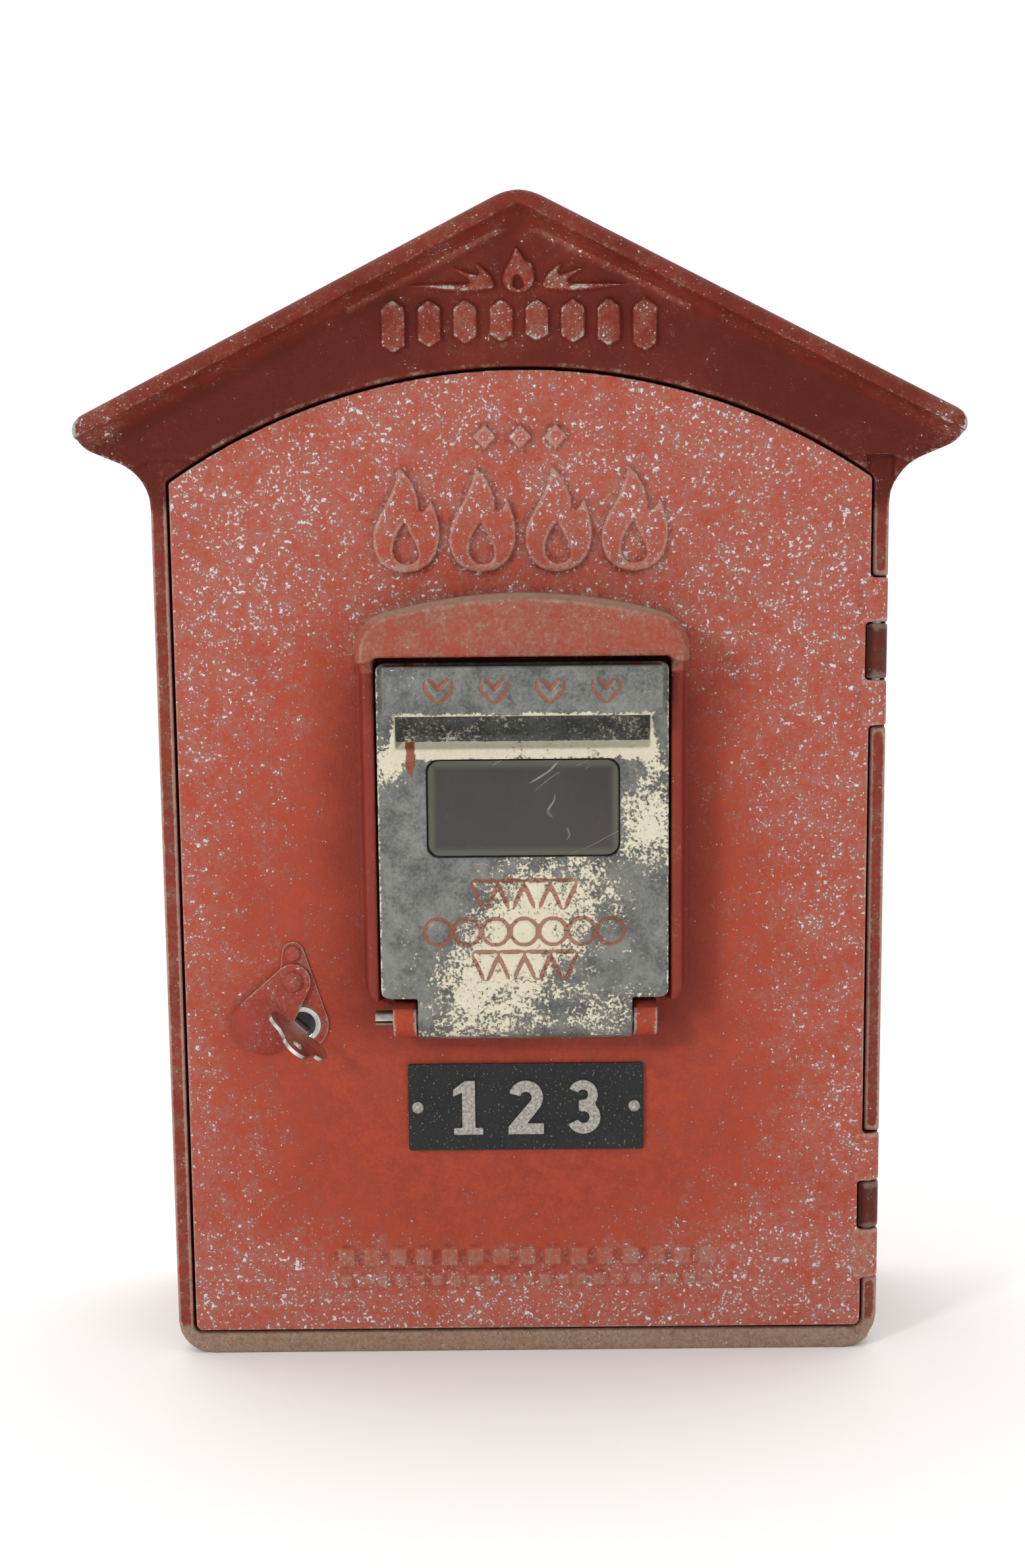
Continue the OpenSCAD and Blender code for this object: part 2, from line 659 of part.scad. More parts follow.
// The visor from the front: upright sides, round corners and a flat arch over them
module visor_outline(grow) {
    half = hood_half + grow;
    crown = 190;
    corner = 13;
    mid = visor_top_h + grow - crown;
    corner_x = half - corner;
    corner_z = mid + sqrt(pow(crown - corner, 2) - pow(corner_x, 2));
    meet = atan2(corner_z - mid, corner_x);
    polygon(concat([[-half, visor_low_h - 2], [half, visor_low_h - 2]],
                   arc([corner_x, corner_z], corner, 0, meet, 8), arc([0, mid], crown, meet, 180 - meet, 24),
                   arc([-corner_x, corner_z], corner, 180 - meet, 180, 8)));
}

module hood() {
    hull() {
        slab(flap_face_y + 0.5, flap_face_y + 1)
            round_rect(-hood_half, hood_half, hood_low_h, 280, 6, $fn = 32);
        slab(rim_y, rim_y + 0.5)
            round_rect(-hood_half - 2.5, hood_half + 2.5, hood_low_h - 2, 282, 8, $fn = 32);
    }
    hull() {
        slab(visor_y, visor_y + 0.5) visor_outline(0);
        slab(visor_y + 5, visor_y + 5.5) visor_outline(2.2);
        slab(rim_y, rim_y + 0.5) visor_outline(3);
    }
}

module flap_lugs() for (side = [0, 1]) mirror([side, 0, 0]) {
    rod_x(lug_in, lug_out, flap_axis_y, flap_pin_h, lug_r);
    block([lug_in, lug_out], [flap_axis_y, rim_y + 1], [flap_pin_h - lug_r, flap_pin_h + lug_r]);
}

module door() color([0.66, 0.17, 0.10]) above_base() difference() {
    union() {
        slab(rim_y, door_back_y) arched(0, 3);
        for (z = door_lugs) {
            rod_z(z[0], z[1], hinge_x, hinge_y, knuckle_r);
            block([door_w / 2 - 3, hinge_x], [hinge_y - knuckle_r, door_back_y], z);
        }
        difference() {
            hood();
            slab(visor_y - 1, rim_y)
                round_rect(-54.2, 54.2, flap_low_h - 30, visor_low_h, 2);
        }
        flap_lugs();
        door_relief();
        post([lock_x, lock_h], rim_y, door_back_y + 3, 16);
    }
    slab(rim_y - 2, door_back_y + 1) round_rect(-46, 46, 152, 258, 4);
    rod_x(-60, 60, flap_axis_y, flap_pin_h, flap_pin_r + 0.02);
    post([lock_x, lock_h], rim_y - 3, door_back_y + 4, tube_r + 0.02);
    post([cover_x, cover_h], rim_y - 3, door_back_y + 1, 1.52);
    post(top_rivet_at, rim_y - 3, door_back_y + 1, 1.52);
    for (p = plate_rivet_at) post(p, rim_y - 3, door_back_y + 1, plate_rivet_r + 0.02);
    for (p = hook_screw_at) post(p, door_back_y - 3.5, door_back_y + 1, 1.6);
    for (z = hinge_spans)
        rod_z(z[0] + pin_end - 0.1, z[1] - pin_end + 0.1, hinge_x, hinge_y, hinge_pin_r + running);
    // Room in the door's edge for the housing's knuckles
    for (z = housing_lugs)
        rod_z(z[0] - hinge_gap, z[1] + hinge_gap, hinge_x, hinge_y, knuckle_r + hinge_gap);
}

module number_plate() color([0.06, 0.07, 0.08]) above_base() difference() {
    slab(rim_y - 1.5, rim_y) round_rect(-45, 45, 80.8, 114.4, 1);
    for (p = plate_rivet_at) post(p, rim_y - 2, rim_y + 1, plate_rivet_r + 0.02);
}

module digit_one() polygon([[-5.6, 0], [5.6, 0], [5.6, 2.6], [2.6, 2.6], [2.6, 21], [-1.2, 21],
                            [-5.8, 17.6], [-5.8, 15], [-2.4, 16.4], [-2.4, 2.6], [-5.6, 2.6]]);

module digit_two() {
    c = [0, 14.4];
    polygon(concat(arc(c, 6.6, 165, -42, 16), [[0.4, 4.2], [6.8, 4.2], [6.8, 0], [-6.8, 0], [-6.8, 2.8]],
                   arc(c, 2.2, -42, 165, 12)));
}

module digit_three() {
    upper = [-0.2, 15.3];
    lower = [0, 6.5];
    polygon(concat(arc(upper, 5.7, 155, -35, 14), arc(lower, 6.5, 40, -155, 16),
                   arc(lower, 2.3, -155, 70, 14), [[-1.8, 8.9], [-1.8, 13.1]],
                   arc(upper, 2, -70, 155, 12)));
}

module plate_digits() color([0.62, 0.61, 0.57]) above_base()
    slab(rim_y - 2.5, rim_y - 1.5) {
        translate([-22, digit_low_h]) digit_one();
        translate([0, digit_low_h]) digit_two();
        translate([22, digit_low_h]) digit_three();
    }

module plate_rivets() color([0.60, 0.59, 0.56]) above_base() for (p = plate_rivet_at) {
    post(p, rim_y - 1.5, door_back_y, plate_rivet_r);
    intersection() {
        post(p, rim_y - 4, rim_y - 1.5, 2.2);
        translate([p[0], rim_y + 0.2, p[1]]) sphere(r = 2.9);
    }
}

// ---- lock ----------------------------------------------------------------

module lock_escutcheon() color([0.62, 0.17, 0.12]) above_base() difference() {
    slab(rim_y - 1.2, rim_y)
        teardrop([lock_x, lock_h], 10, top_rivet_at, 4.2);
    post([lock_x, lock_h], rim_y - 2, rim_y + 1, tube_r + 0.1);
    post([cover_x, cover_h], rim_y - 2, rim_y + 1, 1.52);
    post(top_rivet_at, rim_y - 2, rim_y + 1, 1.52);
}

module escutcheon_rivet() color([0.66, 0.18, 0.12]) above_base() {
    post(top_rivet_at, rim_y - 1.2, door_back_y, 1.5);
    post(top_rivet_at, rim_y - 2.6, rim_y - 1.2, 2.7);
}

module cover_rivet() color([0.66, 0.18, 0.12]) above_base() {
    post([cover_x, cover_h], rim_y - 3.4, door_back_y, 1.5);
    intersection() {
        translate([cover_x, rim_y - 0.9, cover_h]) sphere(r = 4.9);
        post([cover_x, cover_h], rim_y - 7, rim_y - 3.4, 4.3);
    }
}

module keyhole_cover() color([0.70, 0.19, 0.12]) above_base() difference() {
    union() {
        slab(rim_y - 3.2, rim_y - 1.5) teardrop([cover_x, cover_h], 6.8, [dome_x, dome_h], dome_r);
        intersection() {
            translate([dome_x, rim_y + 10, dome_h]) sphere(r = 17, $fn = 96);
            post([dome_x, dome_h], rim_y - 8, rim_y - 3, 10.4);
        }
    }
    post([cover_x, cover_h], rim_y - 4, rim_y - 1, 1.5 + running);
}

module lock_cylinder() color([0.76, 0.76, 0.76]) above_base() difference() {
    post([lock_x, lock_h], rim_y - 1.2, cam_front_y - 1, tube_r);
    post([lock_x, lock_h], rim_y - 5, cam_front_y, plug_r + running);
}

module lock_nut() color([0.60, 0.60, 0.60]) above_base() difference() {
    translate([lock_x, door_back_y + 8, lock_h]) rotate([90, 0, 0]) cylinder(h = 5, r = 12.5, $fn = 6);
    post([lock_x, lock_h], door_back_y, door_back_y + 9, tube_r + 0.02);
}

// Places a shape drawn across and outwards from the lock in the key's plane, which may droop
// by the given angles at the shoulder outside the door
module in_key_plane(t, droop = [0, 0, 0]) {
    shoulder = -rim_y + 9;
    translate([lock_x, 0, lock_h]) rotate([0, 90 - key_turn, 0]) rotate([180, 0, 0])
        translate([0, shoulder, 0]) rotate(droop) translate([0, -shoulder, -t / 2])
            linear_extrude(t) children();
}

module lock_plug() color([0.30, 0.30, 0.30]) above_base() difference() {
    union() {
        post([lock_x, lock_h], rim_y - 0.9, cam_front_y - 0.3, plug_r);
        post([lock_x, lock_h], cam_front_y - 1, cam_front_y + 3, 3);
    }
    in_key_plane(blade_t + 0.3) translate([-blade_w / 2 - 0.15, -cam_front_y + 2])
        square([blade_w + 0.3, 30]);
}

module lock_cam() color([0.70, 0.70, 0.70]) above_base() difference() {
    slab(cam_front_y, cam_front_y + 3)
        teardrop([lock_x, lock_h], 8, [lock_x, lock_h] + 37 * [cos(180 + key_turn), sin(180 + key_turn)], 5);
    post([lock_x, lock_h], cam_front_y - 1, cam_front_y + 4, 3.02);
}

module cam_screw() color([0.58, 0.58, 0.58]) above_base() post([lock_x, lock_h], cam_front_y + 3, cam_front_y + 5.5, 4.5);

// The bow hangs a little below the line of the blade, as a worn key does
module key() color([0.74, 0.73, 0.70]) above_base() {
    in_key_plane(blade_t) difference() {
        translate([-blade_w / 2, -cam_front_y + 4]) square([blade_w, -rim_y + cam_front_y + 6]);
        for (i = [0:3]) translate([blade_w / 2 + 0.5, -cam_front_y + 6 + 3.4 * i]) circle(1.4);
    }
    in_key_plane(blade_t, [8, 0, -8]) difference() {
        union() {
            translate([-blade_w / 2, -rim_y + 8]) square([blade_w, 6]);
            translate([0, -rim_y + 20]) circle(9);
            for (x = [-7.2, 7.2]) translate([x, -rim_y + 17]) circle(6.4);
            translate([0, -rim_y + 26.5]) circle(6);
        }
        translate([0, -rim_y + 26.5]) circle(2.2);
    }
}

// ---- flap ----------------------------------------------------------------

function handle_section() = concat(
    [[flap_face_y + 2, handle_top_h], [handle_y + 2.5, handle_top_h]],
    arc([handle_y + 2.5, handle_top_h - 2.5], 2.5, 90, 180, 4),
    [[handle_y, handle_low_h + 1], [handle_y + 1, handle_low_h], [handle_y + 3.5, handle_low_h],
     [handle_y + 4, handle_low_h + 2], [handle_y + 4, handle_top_h - 6]],
    arc([handle_y + 7, handle_top_h - 6], 3, 180, 90, 4),
    [[flap_face_y + 2, handle_top_h - 3]]);

module flap_plate() {
    slab(flap_face_y, flap_back_y)
        round_rect(-flap_w / 2, flap_w / 2, flap_low_h, flap_top_h, 3);
    for (side = [0, 1]) mirror([side, 0, 0])
        block([flap_w / 2 - 3.5, flap_w / 2], [flap_back_y - 1, flap_back_y + 7],
              [flap_low_h + 3, flap_top_h - 2.5]);
    block([-flap_w / 2 + 2.5, flap_w / 2 - 2.5], [flap_back_y - 1, flap_back_y + 7],
          [flap_top_h - 3, flap_top_h]);
    // Backing of the finger recess
    block([-48, 48], [flap_back_y - 1, flap_back_y + 5], [232, flap_top_h - 1]);
}

module flap_handle() {
    bar(-handle_half, handle_half) polygon(handle_section());
    for (side = [0, 1]) mirror([side, 0, 0])
        block([handle_half - 3, handle_half], [handle_y + 3, flap_face_y + 1], [handle_low_h, handle_top_h - 2]);
}

module flap_marks() {
    slab(flap_face_y - 0.9, flap_face_y + 0.5) {
        for (z = [181.7, 155.2], x = [-14.4:9.6:14.4]) translate([x, z])
            polygon([[-4, 4.4], [4, 4.4], [0, -4.6]]);
        for (x = [-31.8:10.6:31.8]) translate([x, 168]) circle(4, $fn = 32);
    }
    slab(handle_y - 0.8, handle_y + 0.5) for (x = [-30, -10, 10, 30])
        translate([x, 256.6]) chevron(7.6, 7, 3);
}

// The viewing window's outline, made larger or smaller all round
module window_outline(grow, r)
    round_rect(-window_w / 2 - grow, window_w / 2 + grow,
               window_mid_h - window_h / 2 - grow, window_mid_h + window_h / 2 + grow, r);

module flap() color([0.72, 0.69, 0.58]) above_base() difference() {
    union() {
        flap_plate();
        flap_handle();
        rod_x(-tongue_w / 2, tongue_w / 2, flap_axis_y, flap_pin_h, flap_barrel_r);
        block([-tongue_w / 2, tongue_w / 2], [flap_face_y, flap_back_y], [flap_pin_h, flap_low_h + 1]);
        flap_marks();
    }
    // Finger recess behind the handle
    intersection() {
        rod_x(-46.5, 46.5, flap_face_y - 8.5, 250, 17);
        block([-46.5, 46.5], [flap_face_y - 1, flap_back_y + 6], [233, handle_top_h - 3]);
    }
    slab(flap_face_y - 1, flap_back_y + 6) window_outline(0, window_r);
    // Seat of the window
    slab(flap_back_y - 2.5, flap_back_y + 0.1) window_outline(4.5, 4);
    slab(flap_back_y, flap_back_y + 6) round_rect(-46, 46, 190.2, 236.8, 3);
    for (p = retainer_screw_at) post(p, flap_back_y - 3, flap_back_y + 1, 1.25);
    // Room for the torsion spring in the middle of the barrel
    rod_x(-8, 8, flap_axis_y, flap_pin_h, 5.6);
    block([-8, 8], [flap_axis_y, flap_axis_y + 9], [flap_pin_h - 9, flap_pin_h + 8]);
    rod_x(-tongue_w, tongue_w, flap_axis_y, flap_pin_h, flap_pin_r + running);
}

module flap_pin() color([0.50, 0.46, 0.38]) above_base() difference() {
    rod_x(-56, lug_out, flap_axis_y, flap_pin_h, flap_pin_r);
    block([-57, -49.6], [flap_axis_y - 4, flap_axis_y + 4], [flap_pin_h - 1.6, flap_pin_h - 0.6]);
}

module flap_spring() color([0.50, 0.52, 0.55]) above_base()
    torsion_coil(-6, 8, flap_axis_y, flap_pin_h, 4.4, 0.8);

module flap_window() color([0.30, 0.26, 0.26, 0.6]) above_base() {
    slab(flap_back_y - 1.6, flap_back_y + 0.6) window_outline(4, 4);
    slab(flap_face_y + 1.2, flap_back_y - 1.6) window_outline(-0.6, window_r);
}

module window_gasket() color([0.22, 0.26, 0.20]) above_base() difference() {
    slab(flap_back_y - 2.5, flap_back_y - 1.6) window_outline(4, 4);
    slab(flap_back_y - 3, flap_back_y) window_outline(-0.6, window_r);
}

module window_retainer() color([0.64, 0.64, 0.66]) above_base() difference() {
    slab(flap_back_y + 0.6, flap_back_y + 2) round_rect(-45.6, 45.6, 190.6, 236.4, 3);
    slab(flap_back_y, flap_back_y + 3) window_outline(-1, window_r);
    for (p = retainer_screw_at) post(p, flap_back_y, flap_back_y + 3, 1.3);
}

module retainer_screws() color([0.60, 0.60, 0.62]) above_base()
    for (p = retainer_screw_at) {
        post(p, flap_back_y + 2, flap_back_y + 3.2, 2.2);
        post(p, flap_back_y - 2.8, flap_back_y + 2, 1.2);
    }

// ---- the nodes -------------------------------------------------------------

housing();
door_gasket();
hinge_pins();
strike_plate();
movement_back_plate();
movement_front_plate();
movement_pillars();
movement_screws();
pillar_nuts();
start_bracket();
start_pin();
contact_block();
contact_springs();
terminal_block();
terminal_screws();
ground_screw();
gong();
gong_screw();
bell_frame();
bell_coils();
bell_striker();
signal_key_base();
signal_key_lever();
door();
number_plate();
plate_digits();
plate_rivets();
lock_escutcheon();
escutcheon_rivet();
cover_rivet();
lock_cylinder();
lock_nut();
hook_plate();
hook_plate_screws();
hook_pin();
hook_spring();
flap();
flap_pin();
flap_spring();
flap_window();
window_gasket();
window_retainer();
retainer_screws();
keyhole_cover();
lock_plug();
lock_cam();
cam_screw();
key();
pull_hook();
starting_lever();
great_wheel();
spring_barrel();
mainspring();
code_wheel();
second_wheel();
governor_fly();
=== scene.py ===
import json
import math

import bpy
import numpy as np
from mathutils import Matrix, Vector


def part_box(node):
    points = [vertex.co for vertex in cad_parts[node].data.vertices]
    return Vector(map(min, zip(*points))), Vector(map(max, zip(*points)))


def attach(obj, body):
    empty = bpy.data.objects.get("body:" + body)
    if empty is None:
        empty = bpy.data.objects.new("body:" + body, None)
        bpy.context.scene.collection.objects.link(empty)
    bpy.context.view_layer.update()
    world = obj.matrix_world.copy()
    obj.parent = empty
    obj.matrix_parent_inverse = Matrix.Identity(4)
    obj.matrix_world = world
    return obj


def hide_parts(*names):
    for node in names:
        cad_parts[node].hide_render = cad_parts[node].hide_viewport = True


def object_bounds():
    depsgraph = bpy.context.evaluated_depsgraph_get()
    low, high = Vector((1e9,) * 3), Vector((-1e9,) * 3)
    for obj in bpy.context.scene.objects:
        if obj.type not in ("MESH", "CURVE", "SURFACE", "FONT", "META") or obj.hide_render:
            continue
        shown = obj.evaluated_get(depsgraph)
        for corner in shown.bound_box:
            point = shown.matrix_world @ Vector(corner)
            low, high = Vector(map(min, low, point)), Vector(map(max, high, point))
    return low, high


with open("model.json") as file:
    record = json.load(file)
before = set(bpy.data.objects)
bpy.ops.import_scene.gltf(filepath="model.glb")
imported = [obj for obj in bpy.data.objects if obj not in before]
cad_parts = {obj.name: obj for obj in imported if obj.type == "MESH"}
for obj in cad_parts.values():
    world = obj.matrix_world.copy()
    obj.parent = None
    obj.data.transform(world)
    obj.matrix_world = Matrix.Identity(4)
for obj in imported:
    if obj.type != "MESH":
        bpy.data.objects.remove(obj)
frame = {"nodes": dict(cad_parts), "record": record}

MM = 0.001
NODES = frame["nodes"]
SUBPARTS = frame["record"]["subparts"]
BODY_OF = {n: body for body, names in frame["record"]["behaviour"]["bodies"].items() for n in names}
SLOT_OF = {part["node"]: part["material_slot"] for part in SUBPARTS}
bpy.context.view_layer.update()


# ---- camera, floor and light -------------------------------------------------

def make_camera():
    """The photograph's view: a little above the middle, looking slightly down."""
    distance = 0.793
    pitch = math.radians(8.7)
    roll = math.radians(-0.52)
    door_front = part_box("number_plate")[1].y
    data = bpy.data.cameras.new("camera")
    data.lens = 48.6
    data.shift_x = -0.0077
    data.shift_y = 0.1058
    camera = bpy.data.objects.new("camera", data)
    bpy.context.scene.collection.objects.link(camera)
    turn = Matrix.Rotation(math.radians(90) - pitch, 4, "X") @ Matrix.Rotation(roll, 4, "Z")
    camera.matrix_world = Matrix.Translation((0, door_front - distance, 0.0894)) @ turn
    bpy.context.scene.camera = camera


def make_floor():
    half = 6.0
    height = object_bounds()[0][2]
    corners = [(-half, -half, height), (half, -half, height), (half, half, height), (-half, half, height)]
    mesh = bpy.data.meshes.new("floor")
    mesh.from_pydata(corners, [], [(0, 1, 2, 3)])
    floor = bpy.data.objects.new("floor", mesh)
    bpy.context.scene.collection.objects.link(floor)
    mesh.materials.append(floor_cloth())


def add_light(name, place, target, size, power, colour):
    data = bpy.data.lights.new(name, "AREA")
    data.shape = "DISK"
    data.size = size
    data.energy = power
    data.color = colour
    light = bpy.data.objects.new(name, data)
    bpy.context.scene.collection.objects.link(light)
    aim = Vector(target) - Vector(place)
    light.matrix_world = Matrix.Translation(place) @ aim.to_track_quat("-Z", "Y").to_matrix().to_4x4()


def make_world():
    """A studio that is white behind the box, bright overhead and dimmer where the camera stands."""
    world = bpy.data.worlds.new("studio")
    world.use_nodes = True
    tree = world.node_tree
    backdrop = tree.nodes["Background"]
    backdrop.inputs["Color"].default_value = (1.0, 0.995, 0.99, 1)
    direction = tree.nodes.new("ShaderNodeTexCoord").outputs["Generated"]
    split = tree.nodes.new("ShaderNodeSeparateXYZ")
    both = tree.nodes.new("ShaderNodeMath")
    tree.links.new(direction, split.inputs["Vector"])
    backward = (-0.3, 0.3, 0.28, 1.12)
    upward = (0.35, 1.0, 0.0, 0.85)
    for axis, socket, limits in (("Y", 0, backward), ("Z", 1, upward)):
        fade = tree.nodes.new("ShaderNodeMapRange")
        fade.interpolation_type = "SMOOTHSTEP"
        for name, value in zip(("From Min", "From Max", "To Min", "To Max"), limits):
            fade.inputs[name].default_value = value
        tree.links.new(split.outputs[axis], fade.inputs["Value"])
        tree.links.new(fade.outputs["Result"], both.inputs[socket])
    tree.links.new(both.outputs["Value"], backdrop.inputs["Strength"])
    bpy.context.scene.world = world


def make_light():
    make_world()
    bpy.context.scene.view_settings.view_transform = "Standard"
    middle = (0, -0.05, 0.02)
    add_light("key", (-1.2, -1.6, 0.70), middle, 0.35, 14, (1.0, 0.985, 0.96))
    add_light("fill", (1.2, -1.4, 0.1), middle, 1.0, 4, (0.97, 0.98, 1.0))


def read_points(mesh):
    points = np.empty(len(mesh.vertices) * 3, np.float32)
    mesh.vertices.foreach_get("co", points)
    return points.reshape(-1, 3).astype(float)


# ---- materials ----------------------------------------------------------------

class Finish:
    """A material while it is built. Each method adds nodes and gives back their output."""

    def __init__(self, name, **sockets):
        self.material = bpy.data.materials.new(name)
        self.material.use_nodes = True
        self.tree = self.material.node_tree
        self.tree.nodes.clear()
        self.shader = self.add("ShaderNodeBsdfPrincipled")
        output = self.add("ShaderNodeOutputMaterial")
        self.tree.links.new(self.shader.outputs["BSDF"], output.inputs["Surface"])
        self.place = self.add("ShaderNodeTexCoord").outputs["Object"]
        for socket, value in sockets.items():
            self.put(self.shader.inputs[socket.replace("_", " ")], value)

    def add(self, kind, **settings):
        new = self.tree.nodes.new(kind)
        for key, value in settings.items():
            setattr(new, key, value)
        return new

    def put(self, socket, value):
        if isinstance(value, bpy.types.NodeSocket):
            self.tree.links.new(value, socket)
        elif socket.type == "RGBA":
            socket.default_value = (*value, 1)
        else:
            socket.default_value = value

    def noise(self, scale, detail=4.0, roughness=0.6, stretch=None, turn=0.0, distortion=0.0):
        new = self.add("ShaderNodeTexNoise")
        self.put(new.inputs["Vector"], self.place if stretch is None else self.stretched(stretch, turn))
        self.put(new.inputs["Scale"], scale)
        self.put(new.inputs["Detail"], detail)
        self.put(new.inputs["Roughness"], roughness)
        self.put(new.inputs["Distortion"], distortion)
        return new.outputs["Fac"]

    def stretched(self, factors, turn):
        """The place turned about Y, then scaled along each axis."""
        turned = self.add("ShaderNodeMapping")
        self.put(turned.inputs["Vector"], self.place)
        self.put(turned.inputs["Rotation"], (0.0, turn, 0.0))
        scaled = self.add("ShaderNodeMapping")
        self.put(scaled.inputs["Vector"], turned.outputs["Vector"])
        self.put(scaled.inputs["Scale"], factors)
        return scaled.outputs["Vector"]

    def flakes(self, scale, crowd, ragged):
        """Ragged spots, one to a cell, in more of the cells and larger where crowd is high."""
        cells = self.add("ShaderNodeTexVoronoi")
        self.put(cells.inputs["Vector"], self.place)
        self.put(cells.inputs["Scale"], scale)
        lot = self.add("ShaderNodeSeparateColor")
        self.put(lot.inputs["Color"], cells.outputs["Color"])
        spare = self.total((lot.outputs["Red"], 1.0), (crowd, 0.55), (-1.02, 1.0))
        reach = self.step(spare, 0.0, 0.6, 0.12, 0.42)
        gap = self.total((cells.outputs["Distance"], 1.0), (ragged, 1.8), (-0.90, 1.0), (reach, -1.0))
        return self.maths("MULTIPLY", self.step(gap, -0.05, 0.05, 1.0, 0.0), self.step(spare, 0.0, 0.02))

    def mask(self, name):
        return self.add("ShaderNodeAttribute", attribute_name=name).outputs["Fac"]

    def maths(self, operation, a, b=0.0, c=0.0):
        new = self.add("ShaderNodeMath", operation=operation)
        for socket, value in zip(new.inputs, (a, b, c)):
            self.put(socket, value)
        return new.outputs["Value"]

    def total(self, *terms):
        """The sum of (value, weight) pairs."""
        result = 0.0
        for value, weight in terms:
            result = self.maths("MULTIPLY_ADD", value, weight, result)
        return result

    def step(self, value, low, high, bottom=0.0, top=1.0):
        """A smooth rise from bottom to top as value goes from low to high."""
        new = self.add("ShaderNodeMapRange", interpolation_type="SMOOTHSTEP")
        for socket, number in zip(new.inputs, (value, low, high, bottom, top)):
            self.put(socket, number)
        return new.outputs["Result"]

    def blend(self, share, base, over):
        new = self.add("ShaderNodeMix", data_type="RGBA")
        self.put(new.inputs["Factor"], share)
        self.put(new.inputs[6], base)
        self.put(new.inputs[7], over)
        return new.outputs[2]

    def colour(self, value):
        self.put(self.shader.inputs["Base Color"], value)

    def rough(self, value):
        self.put(self.shader.inputs["Roughness"], value)

    def relief(self, height, depth, strength=1.0):
        new = self.add("ShaderNodeBump")
        self.put(new.inputs["Height"], height)
        self.put(new.inputs["Distance"], depth)
        self.put(new.inputs["Strength"], strength)
        self.put(self.shader.inputs["Normal"], new.outputs["Normal"])


def floor_cloth():
    f = Finish("floor_cloth", Roughness=0.9)
    f.colour(f.blend(f.noise(3.0, 3.0), (0.92, 0.91, 0.90), (0.95, 0.945, 0.94)))
    return f.material


def red_paint(name, deep, bright, chalk, gloss=0.25):
    """Old red paint. Mask fresh_and_lit lifts it from deep to bright, both for fresher paint and to leave
    painted shade where it is kept low; haze gathers a rosy bloom and pale flakes, wear dusts the edges,
    bare shows metal, rust_and_highlight shows brown iron and a painted tan highlight, and
    painted_gap_shade paints near-black shade into the gaps between parts."""
    f = Finish(name, Specular_IOR_Level=gloss)
    blotch = f.noise(42.0, 6.0, 0.62)
    spread = f.noise(150.0, 6.0, 0.7)
    grain = f.noise(640.0, 5.0, 0.75)
    fine = f.noise(1500.0, 3.0, 0.7)
    mottle = f.total((grain, 0.6), (fine, 0.4))
    # Where this mask is kept low the deep tone stays, in places as painted shade.
    lift = f.total((f.mask("fresh_and_lit"), 1.0), (blotch, 0.9), (-0.45, 1.0))
    paint = f.blend(f.step(lift, 0.0, 1.0), deep, bright)
    paint = f.blend(f.step(f.total((mottle, 0.6), (spread, 0.4)), 0.42, 0.60, 0.0, 0.6), paint, deep)
    crowd = f.total((f.mask("haze"), 0.9), (blotch, 0.9), (spread, 2.0), (-1.45, 1.0))
    bloom = f.step(f.total((crowd, 1.0), (mottle, 3.6)), 2.0, 3.2, 0.0, 0.6)
    paint = f.blend(bloom, paint, chalk)
    dots = f.maths("MULTIPLY", f.flakes(820.0, crowd, fine), 0.75)
    chips = f.flakes(360.0, f.total((crowd, 1.0), (-0.35, 1.0)), grain)
    speck_line = f.total((crowd, -0.17), (0.775, 1.0))
    streaks = f.step(f.noise(600.0, 3.0, 0.6), speck_line, f.maths("ADD", speck_line, 0.04))
    specks = f.maths("MAXIMUM", f.maths("MAXIMUM", dots, chips), streaks)
    tone = f.blend(f.step(fine, 0.4, 0.6), (0.58, 0.44, 0.44), (0.84, 0.77, 0.78))
    paint = f.blend(specks, paint, tone)
    edge = f.total((f.mask("wear"), 1.0), (grain, 0.7), (spread, 0.6))
    paint = f.blend(f.step(edge, 1.05, 1.5, 0.0, 0.7), paint, (0.50, 0.36, 0.29))
    metal = f.blend(grain, (0.27, 0.26, 0.25), (0.50, 0.50, 0.48))
    bare = f.step(f.total((f.mask("bare"), 1.0), (spread, 0.7), (grain, 1.0)), 1.62, 1.72)
    paint = f.blend(bare, paint, metal)
    # Brown iron; on the visor's top edge this tan is also a painted highlight.
    rust_and_highlight = f.blend(mottle, (0.14, 0.085, 0.055), (0.52, 0.37, 0.27))
    stain_and_highlight = f.total((f.mask("rust_and_highlight"), 1.0), (spread, 0.6), (grain, 0.6))
    paint = f.blend(f.step(stain_and_highlight, 0.9, 1.7), paint, rust_and_highlight)
    # Painted shade: near-black in the groove by the door's edge and in the slot by the hinge knuckles.
    paint = f.blend(f.mask("painted_gap_shade"), paint, (0.018, 0.011, 0.009))
    f.colour(paint)
    f.rough(f.total((bloom, 0.2), (grain, 0.15), (0.42, 1.0)))
    f.relief(f.total((grain, 0.7), (blotch, 0.5), (fine, 0.35), (specks, -0.5)), 0.0005)
    return f.material


def door_paint():
    return red_paint("door_paint", (0.22, 0.027, 0.016), (0.41, 0.058, 0.024), (0.46, 0.20, 0.16))


def housing_paint():
    # Its deep tone also stands as painted shade for the pediment's recess under the cornice.
    return red_paint("housing_paint", (0.105, 0.015, 0.009), (0.31, 0.045, 0.024), (0.34, 0.16, 0.11), 0.12)


def trim_paint():
    return red_paint("trim_paint", (0.17, 0.022, 0.015), (0.36, 0.042, 0.024), (0.45, 0.25, 0.20))


